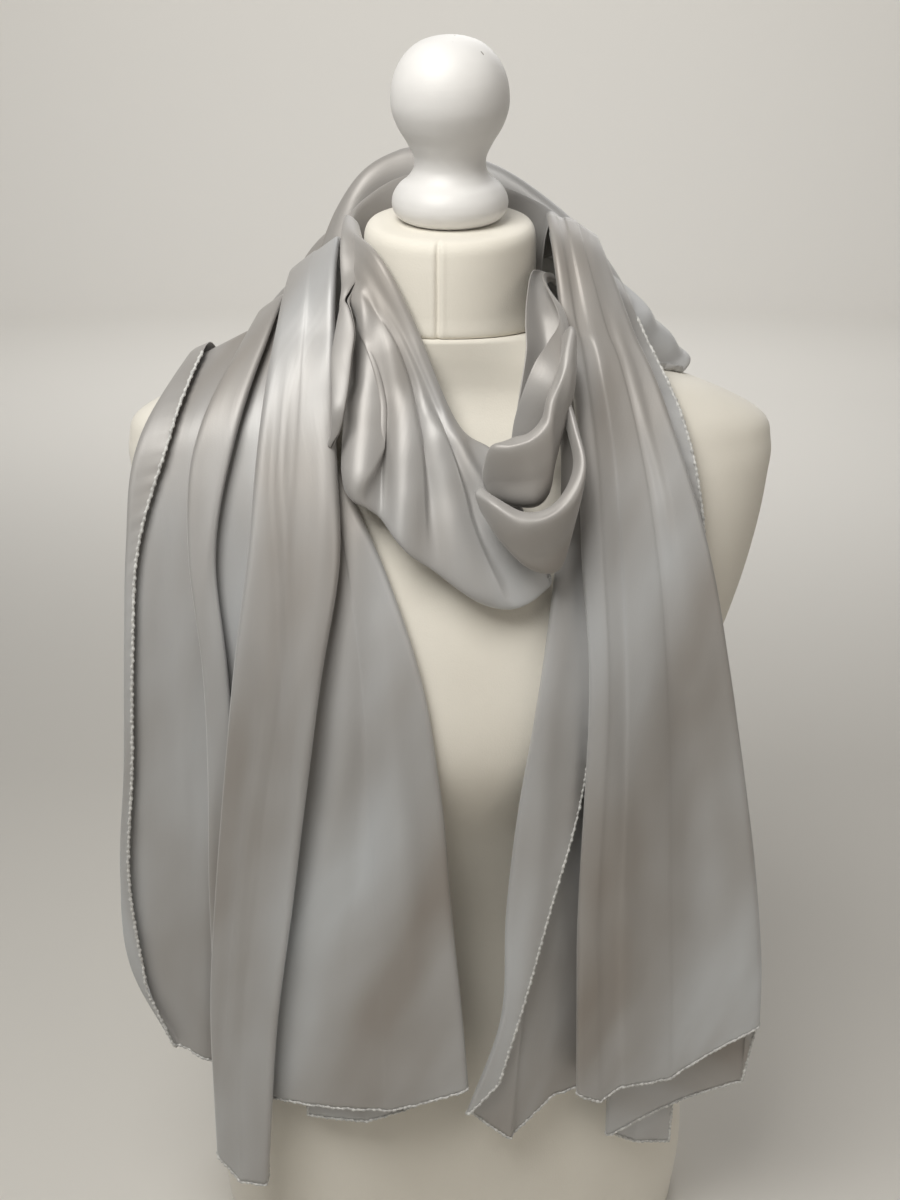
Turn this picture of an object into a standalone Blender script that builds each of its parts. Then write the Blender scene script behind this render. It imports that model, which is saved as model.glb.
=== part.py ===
"""Evening stole wound once round the neck of a limbless dress form.

The stole is one long rectangle of satin. Its middle hangs as a cowl on the
chest, both halves cross behind the neck, and the two ends fall in front in
lengthwise pleats. Each stretch that shows is a thin wall, lofted through its
fold edges. The form is a covered torso on its flat base, with a neck block
and a turned knob. Tables are in millimetres: +Z is up and -Y is the front.
"""
import bpy
import numpy as np

MM = 0.001
WALL = 1.1
SEAM_GAP = 0.3
SEAT = 1.0

# Torso of the form: one row for each level, from the flat base to the neck seam.
# Columns: height, half width, front depth, back depth.
TORSO_LEVELS = np.array([
    (0, 178, 96, 112),
    (70, 182, 100, 118),
    (150, 168, 98, 106),
    (230, 142, 92, 84),
    (300, 127, 88, 72),
    (370, 136, 100, 77),
    (440, 160, 126, 88),
    (500, 184, 117, 96),
    (551, 198, 100, 98),
    (590, 204, 84, 93),
    (613, 205, 72, 86),
    (631, 197, 63, 78),
    (641, 178, 58, 73),
    (651, 152, 55, 68),
    (662, 112, 55, 64),
    (672, 80, 56, 61),
    (683, 57, 57, 58),
])
TORSO_POWER = 2.3
TORSO_AROUND = 32
TORSO_RINGS = 25

# Neck block: height above the neck seam, half width, half depth.
NECK_LEVELS = np.array([(0, 54.5, 56), (12, 53, 55), (44, 52.5, 54.5), (56, 52, 54), (61, 50.5, 52.5), (63, 47, 49)])
NECK_SEAM_HEIGHT = TORSO_LEVELS[-1, 0] + SEAM_GAP
NECK_TOP_SLOPE = 0.17
NECK_AROUND = 32

# Turned knob: radius and height above its seat, from the seat to the tip.
KNOB_PROFILE = (
    (0, 0), (27, 0), (32, 3), (35, 9), (34.5, 14), (31, 20), (25, 25), (21.5, 31), (21.5, 36),
    (25, 44), (31, 54), (34.3, 64), (34.5, 71), (32.5, 81), (27, 91), (18, 98.5), (9, 101.5), (0, 102.5),
)
KNOB_STEPS = 24


def smooth_through(knots, values, at):
    """Values at new places on a curve that bends smoothly through its knots: cubic pieces whose
    slope at each knot is the chord between that knot's two neighbours."""
    knots, values, at = (np.asarray(a, float) for a in (knots, values, at))
    flat = values.reshape(len(knots), -1)
    slope = np.gradient(flat, knots, axis=0)
    k = np.clip(np.searchsorted(knots, at, side="right") - 1, 0, len(knots) - 2)
    span = (knots[k + 1] - knots[k])[:, None]
    t = np.clip((at - knots[k])[:, None] / span, 0, 1)
    out = (
        (2 * t**3 - 3 * t**2 + 1) * flat[k]
        + (t**3 - 2 * t**2 + t) * span * slope[k]
        + (3 * t**2 - 2 * t**3) * flat[k + 1]
        + (t**3 - t**2) * span * slope[k + 1]
    )
    return out.reshape((len(at),) + values.shape[1:])


def torso_size(height):
    """Half width, front depth and back depth of the torso at each height."""
    levels = TORSO_LEVELS[:, 0]
    return smooth_through(levels, TORSO_LEVELS[:, 1:], np.clip(height, levels[0], levels[-1])).T


def hanging_line(x, height):
    """Depth that the lifts of a hanging end start from: the foremost that the torso reaches at
    this height or above it, a little inside its surface so that the lowest layer touches it."""
    x, height = np.broadcast_arrays(np.asarray(x, float), np.asarray(height, float))
    foremost = np.full(x.shape, 0.0)
    for above in range(0, 505, 7):
        level = np.minimum(height + above, 676.0)
        half, front, _ = torso_size(level.ravel())
        half, front = half.reshape(x.shape), front.reshape(x.shape)
        share = np.abs(x) / half
        share = share / (1 + (share / 0.85) ** 6) ** (1 / 6)
        foremost = np.minimum(foremost, -front * (1 - share**TORSO_POWER) ** (1 / TORSO_POWER))
    return foremost + SEAT


def material(name, colour, roughness):
    """Principled material with one colour and roughness."""
    made = bpy.data.materials.new(name)
    made.use_nodes = True
    shader = made.node_tree.nodes["Principled BSDF"]
    shader.inputs["Base Color"].default_value = (*colour, 1.0)
    shader.inputs["Roughness"].default_value = roughness
    return made


def add_mesh(name, points, faces, finish, collection):
    """Object from points in millimetres, shaded smooth."""
    mesh = bpy.data.meshes.new(name)
    mesh.from_pydata((np.asarray(points) * MM).tolist(), [], faces)
    mesh.update()
    mesh.shade_smooth()
    made = bpy.data.objects.new(name, mesh)
    made.data.materials.append(finish)
    collection.objects.link(made)
    return made


def add_rings(name, rings, finish, collection):
    """Closed solid lofted through rings of equal count, each end closed by one flat face."""
    count, around = rings.shape[:2]
    start = np.arange(count - 1)[:, None] * around
    here, beside = np.arange(around), (np.arange(around) + 1) % around
    quads = np.stack([start + here, start + beside, start + around + beside, start + around + here], -1)
    faces = quads.reshape(-1, 4).tolist()
    faces.append(list(range(around))[::-1])
    faces.append(list(range((count - 1) * around, count * around)))
    return add_mesh(name, rings.reshape(-1, 3), faces, finish, collection)


def oval(half, front, back, power, around):
    """Rounded outline: a superellipse with its own depth in front and behind."""
    turn = np.linspace(0, 2 * np.pi, around, endpoint=False)
    c, s = np.cos(turn), np.sin(turn)
    x = half * np.sign(c) * np.abs(c) ** (2 / power)
    y = np.where(s < 0, front, back) * np.sign(s) * np.abs(s) ** (2 / power)
    return np.stack([x, y], -1)


def add_torso(finish, collection):
    levels = TORSO_LEVELS[:, 0]
    low = np.linspace(levels[0], 600, TORSO_RINGS - 10, endpoint=False)
    height = np.concatenate([low, np.linspace(600, levels[-1], 10)])
    sizes = torso_size(height).T
    rings = [
        np.column_stack([oval(*size, TORSO_POWER, TORSO_AROUND), np.full(TORSO_AROUND, h)])
        for size, h in zip(sizes, height)
    ]
    return add_rings("form_torso", np.array(rings), finish, collection)


def add_neck(finish, collection):
    rings = []
    for rise, half, depth in NECK_LEVELS:
        ring = oval(half, depth, depth, 2.0, NECK_AROUND)
        slope = NECK_TOP_SLOPE * ring[:, 1] * rise / NECK_LEVELS[-1, 0]
        rings.append(np.column_stack([ring, NECK_SEAM_HEIGHT + rise + slope]))
    return add_rings("form_neck", np.array(rings), finish, collection)


def add_knob(finish, collection):
    """The knob is a profile turned about its own upright axis and tipped with the neck's top."""
    profile = [(r, 0, h) for r, h in reversed(KNOB_PROFILE)]
    mesh = bpy.data.meshes.new("form_knob")
    points = np.array(profile) * MM
    mesh.from_pydata(points.tolist(), [(i, i + 1) for i in range(len(profile) - 1)], [])
    made = bpy.data.objects.new("form_knob", mesh)
    made.data.materials.append(finish)
    collection.objects.link(made)
    turn = made.modifiers.new("turned", "SCREW")
    turn.steps = turn.render_steps = KNOB_STEPS
    turn.use_merge_vertices = True
    turn.merge_threshold = 0.00005
    turn.use_smooth_shade = True
    made.location = (0, 0, (NECK_SEAM_HEIGHT + NECK_LEVELS[-1, 0] + SEAM_GAP) * MM)
    made.rotation_euler = (np.arctan(NECK_TOP_SLOPE), 0, 0)
    return made


def rounded(near, radius):
    """Rise of a fold's round edge at a distance from it: a quarter circle of this radius, 0 at the edge."""
    return np.sqrt(1 - (1 - np.clip(near / radius, 0, 1)) ** 2)


def add_cloth(name, points, finish, collection):
    """Open grid of cloth points[v, u], in millimetres, given its wall by Solidify."""
    rows, across = points.shape[:2]
    start = np.arange(rows - 1)[:, None] * across + np.arange(across - 1)
    upper = np.stack([start, start + 1, start + across + 1], -1).reshape(-1, 3)
    lower = np.stack([start, start + across + 1, start + across], -1).reshape(-1, 3)
    faces = np.concatenate([upper, lower]).tolist()
    made = add_mesh(name, points.reshape(-1, 3), faces, finish, collection)
    wall = made.modifiers.new("wall", "SOLIDIFY")
    wall.thickness = WALL * MM
    wall.offset = 0
    return made


# The hanging ends. Each row is a fold edge or a free edge of the cloth, in order across it.
# Columns: x where it crosses the shoulder, x at each of END_HEIGHTS, x at its hem and the hem's
# height, and how far the run after it stands off the resting line, at the shoulder and at the hem.
END_HEIGHTS = (620, 560, 500, 420, 340, 260)
LEFT_END = {
    "outer_hem": (-154, -168, -188, -194, -201, -211, -214, -203, 224, 10, 10),
    "outer_fold": (-166, -187, -196, -200, -207, -218, -222, -206, 204, 4, 4),
    "under_a": (-115, -143, -148, -142, -144, -149, -152, -154, 182, 9, 9),
    "fold_a_left": (-121, -151, -156, -150, -151, -156, -159, -162, 178, 14, 14),
    "fold_a_right": (-104, -127, -139, -134, -132, -137, -140, -145, 168, 9.5, 9.5),
    "tuck_a": (-110, -134, -144, -138, -138, -143, -146, -150, 170, 5, 5),
    "under_front": (-92, -98, -103, -112, -122, -130, -134, -139, 148, 19, 19),
    "front_left": (-100, -111, -117, -127, -139, -150, -159, -164, 124, 25, 25),
    "front_crease": (-84, -88, -92, -98, -112, -124, -137, -147, 103, 24, 24),
    "front_right": (-68, -66, -63, -74, -87, -99, -112, -128, 106, 15, 15),
    "under_inner": (-78, -77, -76, -88, -101, -110, -119, -127, 172, 9, 9),
    "inner_mid": (-75, -73, -60, -52, -48, -46, -44, -43, 186, 10, 10),
    "inner_right": (-71, -69, -40, -18, -5, 1, 8, 12, 205, 4, 4),
    "lap": (-75, -72, -50, -42, -46, -50, -54, -58, 168, 2.95, 2.95),
    "inner_hem": (-79, -75, -60, -62, -75, -85, -92, -98, 162, 3.5, 3.5),
}
LEFT_RUN_FACES = (3, 5, 3, 4, 3, 4, 3, 4, 4, 3, 5, 5, 4, 3)

RIGHT_END = {
    "corner_hem": (72, 84, 87, 87, 80, 62, 44, 32, 210, 11, 11),
    "fold_left": (61, 70, 62, 54, 42, 35, 33, 11, 184, 5, 4),
    "flare": (68, 80, 78, 72, 62, 54, 48, 42, 155, 4, -1),
    "valley": (72, 94, 96, 94, 86, 78, 72, 70, 184, 4, -1),
    "under_main": (76, 100, 104, 104, 102, 100, 102, 104, 189, 15, 15),
    "main_left": (59, 74, 76, 81, 81, 80, 82, 84, 200, 21, 21),
    "roll": (65, 84, 88, 92, 93, 93, 97, 101, 188, 19.5, 19.5),
    "dip": (70, 94, 99, 103, 106, 107, 111, 116, 195, 21, 21),
    "main_mid": (77, 110, 121, 128, 136, 141, 147, 151, 190, 20, 20),
    "main_right": (92, 133, 153, 167, 184, 199, 210, 212, 225, 12, 12),
    "behind_right": (89, 126, 144, 158, 176, 191, 202, 205, 170, 10, 10),
    "behind_mid": (86, 120, 132, 141, 150, 155, 157, 158, 158, 10, 10),
    "tuck_behind": (82, 106, 112, 114, 112, 108, 107, 108, 145, 4, 4),
    "corner_mid": (94, 124, 130, 132, 132, 130, 129, 130, 127, 5, 5),
    "side_hem": (106, 143, 153, 156, 157, 158, 158, 157, 118, 3.5, 3.5),
}
RIGHT_RUN_FACES = (4, 3, 3, 3, 3, 3, 3, 3, 5, 3, 3, 5, 4, 3)

# Line along which each end lies over the shoulder: distance from the middle and height.
LEFT_CREST = np.array([(60, 716), (68, 713), (84, 702), (100, 690), (121, 676), (152, 661), (166, 655), (225, 636)])
RIGHT_CREST = np.array([(50, 732), (60, 730), (84, 722), (96, 712), (108, 702), (125, 688), (153, 660), (225, 636)])
CREST_DEPTH = 12.0
BACK_TURN = 42.0
END_ROWS_DOWN = 17


def resting(x, z, crest):
    """Depth of the resting line of a hanging end: it bends round from the crest over the
    shoulder, then lies on the chest or hangs clear below it."""
    crest_z = np.interp(np.abs(x), crest[:, 0], crest[:, 1])
    shoulder_z = np.interp(np.abs(x), TORSO_LEVELS[:8:-1, 1], TORSO_LEVELS[:8:-1, 0])
    bend = crest_z - shoulder_z + 26
    t = np.clip((crest_z - z) / bend, 0.004, 1)
    hang = hanging_line(x, z)
    return CREST_DEPTH + (hang - CREST_DEPTH) * np.sqrt(1 - (1 - t) ** 2)


def end_rails(table, crest, rows):
    """x and height of each fold edge of an end at each row, from the crest to the hem."""
    down = np.linspace(0, 1, rows) ** 1.25
    low = min(row[8] for row in table.values())
    x_rails, z_rails = [], []
    for row in table.values():
        crest_z = np.interp(abs(row[0]), crest[:, 0], crest[:, 1])
        hem_x, hem_z = row[7], row[8]
        levels = [(crest_z, row[0])]
        levels += [(h, x) for h, x in zip(END_HEIGHTS, row[1:7]) if h > hem_z + 25]
        levels.append((hem_z, hem_x))
        known = np.array(levels[::-1], float)
        z = crest_z + (low - crest_z) * down + (hem_z - low) * down**2
        x_rails.append(smooth_through(known[:, 0], known[:, 1], z))
        z_rails.append(z)
    return np.array(x_rails), np.array(z_rails), down


def pleated(table, per_run, crest, rows_down, rows_back, fold_radius=2.6):
    """Surface of a hanging end, points[v, u]. Across, it zigzags between the fold edges, and
    each run meets its edges in quarter circles, so two runs make a round fold. Down, it starts
    behind the crest and ends at the hem."""
    x_rails, z_rails, down = end_rails(table, crest, rows_down)
    sizes = np.array(list(table.values()), float)
    lifts = sizes[:-1, 9:10] + (sizes[:-1, 10:11] - sizes[:-1, 9:10]) * down
    xs, zs, rises = [], [], []
    for k, faces in enumerate(per_run):
        share = (0.5 - 0.5 * np.cos(np.pi * np.linspace(0, 1, faces + 1)))[:, None]
        x = x_rails[k] + (x_rails[k + 1] - x_rails[k]) * share
        z = z_rails[k] + (z_rails[k + 1] - z_rails[k]) * share
        width = np.maximum(np.hypot(x_rails[k + 1] - x_rails[k], z_rails[k + 1] - z_rails[k]), 0.5)
        radius = np.minimum(fold_radius, width / 2)
        lift = lifts[k]
        before = lifts[k - 1] if k else lift
        after = lifts[k + 1] if k + 1 < len(lifts) else lift
        rise = (
            lift
            + (before - lift) / 2 * (1 - rounded(share * width, radius))
            + (after - lift) / 2 * (1 - rounded((1 - share) * width, radius))
        )
        last = None if k + 1 == len(per_run) else -1
        xs.append(x[:last])
        zs.append(z[:last])
        rises.append(rise[:last])
    x, z, rise = np.concatenate(xs).T, np.concatenate(zs).T, np.concatenate(rises).T
    y = resting(x, z, crest)
    slope_z = (resting(x, z + 0.25, crest) - resting(x, z - 0.25, crest)) / 0.5
    slope_z[0] = 20.0
    out = np.stack([np.zeros_like(x), -np.ones_like(x), np.clip(slope_z, -0.4, 20)], -1)
    out /= np.linalg.norm(out, axis=-1, keepdims=True)
    front = np.stack([x, y, z], -1) + out * rise[..., None]
    turn = np.linspace(0.75, 0, rows_back, endpoint=False)[:, None]
    around = BACK_TURN + rise[0]
    back = np.stack([
        x[0] + 0 * turn,
        CREST_DEPTH + around * np.sin(turn),
        z[0] - BACK_TURN + around * np.cos(turn),
    ], -1)
    return np.concatenate([back, front])


# The cowl on the chest: its fold lines run from the left of the neck down to its low edge. Each
# line has seven points (x, depth, height), and the last is turned under.
COWL_LINES = {
    "low_edge": (
        (-66, 3, 685), (-66.3, -24, 680), (-64.2, -50.5, 664.1), (-61, -71, 646), (-60, -84, 624), (-57, -95, 605), (-56, -84, 607)),
    "ridge_1": (
        (-67, 2, 692), (-69, -29, 687), (-58, -57, 672), (-55, -78, 648), (-54, -94, 624), (-51, -107, 601), (-51, -95, 603)),
    "side_1": (
        (-66, 1, 699), (-65, -32, 694), (-51, -57, 676), (-46, -76, 649), (-46, -91, 625), (-45, -106, 596), (-45, -94, 598)),
    "pleat_1": (
        (-65, 0, 705), (-61, -32, 699), (-45, -54, 679), (-38, -68, 648), (-38, -82, 623), (-39, -101, 591), (-39, -89, 593)),
    "ridge_2": (
        (-66, -1, 712), (-61, -37, 705), (-40, -60, 682), (-32, -76, 650), (-30, -96, 622), (-31, -116, 584), (-31, -103, 586)),
    "side_2": (
        (-66, -2, 719), (-58, -40, 710), (-36, -61, 684), (-25, -75, 650), (-22, -96, 620), (-21, -119, 574), (-21, -106, 576)),
    "pleat_2": (
        (-65, -3, 726), (-55, -40, 714), (-33, -59, 684), (-20, -70, 650), (-15, -90, 616), (-10, -115, 566), (-10, -102, 568)),
    "ridge_3": (
        (-65, -4, 733), (-52, -42, 718), (-29, -62, 685), (-14, -77, 649), (-3, -99, 610), (8, -126, 556), (9, -112, 558)),
    "pleat_3": (
        (-64, -5, 739), (-49, -42, 722), (-26, -61, 685), (-8, -74, 645), (7, -94, 604), (27, -117, 546), (27, -104, 549)),
    "ridge_4": (
        (-64, -6, 745), (-46, -44, 725), (-22, -63, 685), (-2, -79, 643), (17, -99, 606), (41, -123, 545), (41, -109, 549)),
    "top_edge": (
        (-63, -6, 750), (-43, -45, 727), (-18, -63, 684), (5, -75, 637), (29, -88, 617), (56, -112, 555), (54, -100, 558)),
}

# The outer loop beside the cowl: cloth that comes up out of a pocket, over a rolled rim and down.
# Lines run across it from left to right.
LOOP_LINES = {
    "inside": (
        (17, -121, 606), (26, -130, 601), (40, -136, 593), (54, -135, 596), (64, -129, 606), (70, -120, 620), (67, -108, 636)),
    "rim_in": (
        (17, -122, 613), (26, -131, 609), (40, -137, 603), (53, -136, 605), (63, -130, 614), (68, -121, 627), (65, -110, 643)),
    "rim": (
        (14, -127, 612), (24, -137, 609), (39, -143, 603), (53, -142, 604), (65, -136, 614), (71, -127, 628), (68, -115, 645)),
    "rim_out": (
        (14, -128, 609), (24, -139, 605), (39, -146, 598), (54, -145, 600), (68, -138, 609), (74, -128, 625), (71, -115, 641)),
    "belly": (
        (16, -127, 603), (26, -136, 592), (39, -141, 583), (53, -140, 580), (64, -134, 586), (71, -127, 603), (71, -115, 619)),
    "low": (
        (17, -124, 601), (28, -130, 585), (41, -134, 572), (53, -134, 567), (62, -130, 569), (66, -123, 583), (67, -113, 603)),
    "under": (
        (20, -108, 601), (31, -110.5, 585), (42, -110.8, 573), (52, -112, 568), (59, -113, 571), (62, -112, 583), (63, -106, 602)),
}

# The inner loop: its rim lies behind the outer one, and its foot goes down into the outer pocket.
INNER_LINES = {
    "inside": (
        (24, -108, 619), (28, -112, 626), (35, -113, 629), (44, -112, 633), (51, -107, 641), (54, -104, 653)),
    "rim_in": (
        (22, -112, 624), (26, -118, 634), (34, -120, 640), (43, -120, 643), (50, -116, 650), (53, -111, 660)),
    "rim": (
        (19, -117, 624), (23, -123, 637), (33, -127, 639), (43, -127, 642), (51, -123, 649), (54, -117, 660)),
    "top": (
        (18, -118, 620), (22, -125, 633), (33, -129, 635), (45, -129, 638), (54, -125, 645), (57, -119, 657)),
    "middle": (
        (19, -117, 613), (25, -122, 618), (35, -126, 618), (46, -128, 620), (55, -125, 626), (58, -120, 639)),
    "low": (
        (22, -115, 607), (28, -119, 605), (38, -123, 603), (48, -125, 604), (55, -121, 610), (58, -116, 624)),
    "foot": (
        (24, -103, 603), (30, -102, 600), (39, -97.7, 598), (48, -101, 598), (53, -103, 604), (56, -102, 616)),
}

# The petal that the loops hang from: folded lengthwise, with its lip crossing to the left as it
# goes down into the inner pocket. Lines run down it.
PETAL_LINES = {
    "left_edge": (
        (48, -34, 719), (44, -56, 706), (43, -68, 694), (43, -78, 681), (40, -87, 663), (37, -92, 643), (35, -94, 626)),
    "hollow": (
        (51, -30, 715), (52, -50, 702), (54, -60, 691), (56, -70, 677), (54, -81, 660), (49, -86, 640), (45, -89, 626)),
    "right": (
        (57, -33, 711), (65, -55, 700), (68, -73, 686), (68, -86, 671), (66, -94, 657), (61, -96, 644), (55, -96, 630)),
    "strip": (
        (56, -41, 714), (64, -66, 698), (64, -84, 685), (61, -98, 671), (57, -103, 659), (52, -102, 643), (46, -101, 629)),
    "lip": (
        (54, -43, 717), (62, -69, 698), (55, -85, 687), (47, -95, 677), (41, -99, 663), (36, -100, 646), (34, -101, 630)),
}

# The two rolls behind the neck. Lines run from the left shoulder round the back to the right.
NAPE_INNER_LINES = {
    "inside_low": ((-60, 7, 698), (-49, 27, 712), (-28, 48, 724), (0, 55, 726), (28, 48, 722), (49, 29, 714), (57, 16, 712)),
    "inside": ((-60, 7, 732), (-54, 28, 744), (-30, 52, 756), (0, 61, 758), (30, 52, 752), (55, 30, 742), (60, 16, 738)),
    "top": ((-63, 7, 741), (-57, 30, 753), (-32, 56, 768), (0, 65, 770), (32, 56, 763), (58, 32, 753), (66, 16, 747)),
    "outside": ((-66.5, 7, 732), (-60, 33, 744), (-34, 59, 758), (0, 69, 759), (34, 60, 753), (62, 35, 744), (74, 16, 741)),
    "low": ((-67, 7, 690), (-61, 33, 700), (-35, 59, 712), (0, 69, 712), (35, 60, 710), (66, 36, 722), (84, 16, 733)),
}
NAPE_OUTER_LINES = {
    "inside_low": ((-71, 58.8, 690), (-62, 64, 722), (-32, 76, 738), (0, 80, 738), (32, 76, 732), (62, 60, 720), (80, 38, 708), (88, 17, 700)),
    "inside": ((-72, 58.8, 712), (-62, 65, 750), (-32, 77, 774), (0, 81, 774), (32, 77, 764), (62, 62, 746), (82, 40, 728), (92, 17, 712)),
    "top": ((-80, 58.8, 718), (-67, 70, 757), (-34, 84, 784), (0, 88, 783), (34, 84, 773), (67, 68, 752), (90, 42, 731), (100, 17, 714)),
    "high": ((-91, 58.8, 712), (-75, 78, 748), (-37, 94, 774), (0, 98, 774), (37, 94, 764), (75, 75, 742), (99, 44, 721), (109, 17, 705)),
    "valley_a": ((-101, 58.8, 701), (-82, 77, 731), (-40, 92, 756), (0, 97, 756), (40, 92, 748), (81, 75, 727), (104, 44, 709), (115, 17, 696)),
    "ridge_b": ((-115, 58.8, 696), (-94, 84, 721), (-46, 102, 743), (0, 108, 743), (46, 102, 735), (91, 82, 716), (114, 47, 702), (126, 17, 691)),
    "valley_b": ((-127, 58.8, 685), (-102, 83, 706), (-49, 100, 726), (0, 105, 725), (49, 100, 719), (97, 82, 703), (120, 47, 691), (132, 17, 682)),
    "ridge_c": ((-142, 58.8, 677), (-113, 89, 695), (-54, 106, 707), (0, 111, 706), (54, 106, 702), (106, 88, 690), (130, 49, 682), (142, 17, 674)),
    "valley_c": ((-153, 58.8, 667), (-121, 88, 680), (-57, 100, 688), (0, 105, 687), (57, 100, 684), (112, 88, 677), (137, 50, 672), (148, 17, 665)),
    "low": ((-166, 58.8, 662), (-130, 92, 660), (-61, 101, 662), (0, 104, 660), (61, 101, 660), (119, 91, 660), (145, 52, 660), (154, 17, 660)),
    "turned_under": ((-160, 58, 653), (-127, 86, 650), (-60, 93, 650), (0, 95, 649), (60, 93, 649), (115, 86, 652), (138, 50, 650), (146, 17, 651)),
}


def in_grid(lines, down, across):
    """Surface lofted through lines of points: smooth along each line and from line to line."""
    grid = np.array(list(lines.values()), float)
    grid = smooth_through(np.arange(grid.shape[1]), grid.transpose(1, 0, 2), np.linspace(0, grid.shape[1] - 1, down))
    grid = smooth_through(np.arange(grid.shape[1]), grid.transpose(1, 0, 2), np.linspace(0, grid.shape[1] - 1, across))
    return grid.transpose(1, 0, 2)


def form_distance(points):
    """About how far each point stands off the form, in millimetres."""
    height = points[..., 2]
    half, front, back = torso_size(height.ravel()).reshape((3,) + height.shape)
    power = np.where(height > NECK_SEAM_HEIGHT, 2.0, TORSO_POWER)
    depth = np.where(points[..., 1] < 0, front, back)
    rise = height - NECK_SEAM_HEIGHT
    half = np.where(rise > 0, np.interp(rise, NECK_LEVELS[:4, 0], NECK_LEVELS[:4, 1]), half)
    depth = np.where(rise > 0, np.interp(rise, NECK_LEVELS[:4, 0], NECK_LEVELS[:4, 2]), depth)
    x, y = np.abs(points[..., 0]), np.abs(points[..., 1])
    reach = np.hypot(x, y)
    level = ((x / half) ** power + (y / depth) ** power) ** (1 / power)
    return reach * (1 - 1 / np.maximum(level, 0.01))


def clear_of_form(points, gap):
    """Points moved off the form, where they are nearer to it than the gap."""
    points = points.copy()
    for _ in range(12):
        near = form_distance(points)
        steps = [
            form_distance(points + np.eye(3)[axis]) - form_distance(points - np.eye(3)[axis]) for axis in range(3)
        ]
        way = np.stack(steps, -1)
        size = np.linalg.norm(way, axis=-1, keepdims=True)
        move = np.clip(gap - near, 0, 6)[..., None] * way / np.maximum(size, 0.2)
        points += move
    return points


def build():
    for old in list(bpy.data.objects):
        bpy.data.objects.remove(old)
    collection = bpy.data.collections.new("evening_stole")
    bpy.context.scene.collection.children.link(collection)
    satin = material("silver satin", (0.42, 0.41, 0.40), 0.35)
    jersey = material("cream jersey", (0.75, 0.71, 0.62), 0.85)
    paint = material("white paint", (0.75, 0.74, 0.73), 0.5)
    add_torso(jersey, collection)
    add_neck(jersey, collection)
    add_knob(paint, collection)
    left = pleated(LEFT_END, LEFT_RUN_FACES, LEFT_CREST, END_ROWS_DOWN, 4)
    right = pleated(RIGHT_END, RIGHT_RUN_FACES, RIGHT_CREST, END_ROWS_DOWN, 0)
    add_cloth("left_end", left, satin, collection)
    add_cloth("right_end", right, satin, collection)
    stretches = {
        "cowl": (COWL_LINES, 17, 31, 1.6),
        "loop_outer": (LOOP_LINES, 13, 13, 1.1),
        "loop_inner": (INNER_LINES, 11, 13, 1.1),
        "loop_petal": (PETAL_LINES, 15, 15, 1.1),
        "nape_inner": (NAPE_INNER_LINES, 17, 11, 1.1),
        "nape_outer": (NAPE_OUTER_LINES, 19, 27, 1.1),
    }
    for name, (lines, along, across, gap) in stretches.items():
        add_cloth(name, clear_of_form(in_grid(lines, along, across), gap), satin, collection)


build()
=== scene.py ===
"""Looks of the evening stole on its dress form: finer shells for each stretch of cloth, with its
creases and rolled hem, the covered form, materials, lights and the camera. Tables are in
millimetres, in the part's own frame: +Z is up and -Y is the front."""

import bpy
import numpy as np
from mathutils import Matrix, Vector


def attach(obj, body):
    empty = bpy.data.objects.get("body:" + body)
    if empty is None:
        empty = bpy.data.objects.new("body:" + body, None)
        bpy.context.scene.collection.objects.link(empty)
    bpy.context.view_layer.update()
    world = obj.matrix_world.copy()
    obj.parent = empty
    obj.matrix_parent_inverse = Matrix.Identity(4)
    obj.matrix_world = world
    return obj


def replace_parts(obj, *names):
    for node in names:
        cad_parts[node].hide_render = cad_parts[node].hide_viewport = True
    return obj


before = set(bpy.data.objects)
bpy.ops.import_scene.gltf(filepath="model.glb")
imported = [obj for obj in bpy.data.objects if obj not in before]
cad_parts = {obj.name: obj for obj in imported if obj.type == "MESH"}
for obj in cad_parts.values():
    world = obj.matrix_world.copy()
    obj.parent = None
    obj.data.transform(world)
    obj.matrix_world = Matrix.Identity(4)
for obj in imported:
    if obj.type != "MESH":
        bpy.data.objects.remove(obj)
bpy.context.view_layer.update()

# One millimetre in metres, and the cloth's thickness in millimetres.
MM = 0.001
CLOTH = 0.55


# Helpers for colours and nodes

def colour(code):
    """Linear colour of an sRGB hex code."""
    values = np.array([int(code[i:i + 2], 16) for i in (1, 3, 5)]) / 255
    values = np.where(values <= 0.04045, values / 12.92, ((values + 0.055) / 1.055) ** 2.4)
    return (*values.tolist(), 1.0)


def node(tree, kind, **settings):
    """New node; a setting names a socket, with _ for a space, or else a property of the node."""
    made = tree.nodes.new(kind)
    for name, value in settings.items():
        socket = name.replace("_", " ")
        if socket in made.inputs:
            made.inputs[socket].default_value = value
        else:
            setattr(made, name, value)
    return made


def start_material(name):
    """Material with its node tree and shader."""
    made = bpy.data.materials.new(name)
    made.use_nodes = True
    return made, made.node_tree, made.node_tree.nodes["Principled BSDF"]


def noise(tree, source, stretch, scale, detail):
    """Noise stretched along the axes of its coordinates."""
    mapping = node(tree, "ShaderNodeMapping", Scale=stretch)
    tree.links.new(source, mapping.inputs["Vector"])
    made = node(tree, "ShaderNodeTexNoise", Scale=scale, Detail=detail)
    tree.links.new(mapping.outputs["Vector"], made.inputs["Vector"])
    return made.outputs["Fac"]


def ramp(tree, source, *stops):
    """Colour ramp of (position, hex code) stops."""
    made = node(tree, "ShaderNodeValToRGB")
    while len(made.color_ramp.elements) < len(stops):
        made.color_ramp.elements.new(0.5)
    for element, (position, code) in zip(made.color_ramp.elements, stops):
        element.position = position
        element.color = colour(code)
    tree.links.new(source, made.inputs["Fac"])
    return made.outputs["Color"]


def bump(tree, source, distance, strength, before=None):
    """Bump from a height, on top of an earlier bump."""
    made = node(tree, "ShaderNodeBump", Distance=distance, Strength=strength)
    tree.links.new(source, made.inputs["Height"])
    if before is not None:
        tree.links.new(before, made.inputs["Normal"])
    return made.outputs["Normal"]


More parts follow.
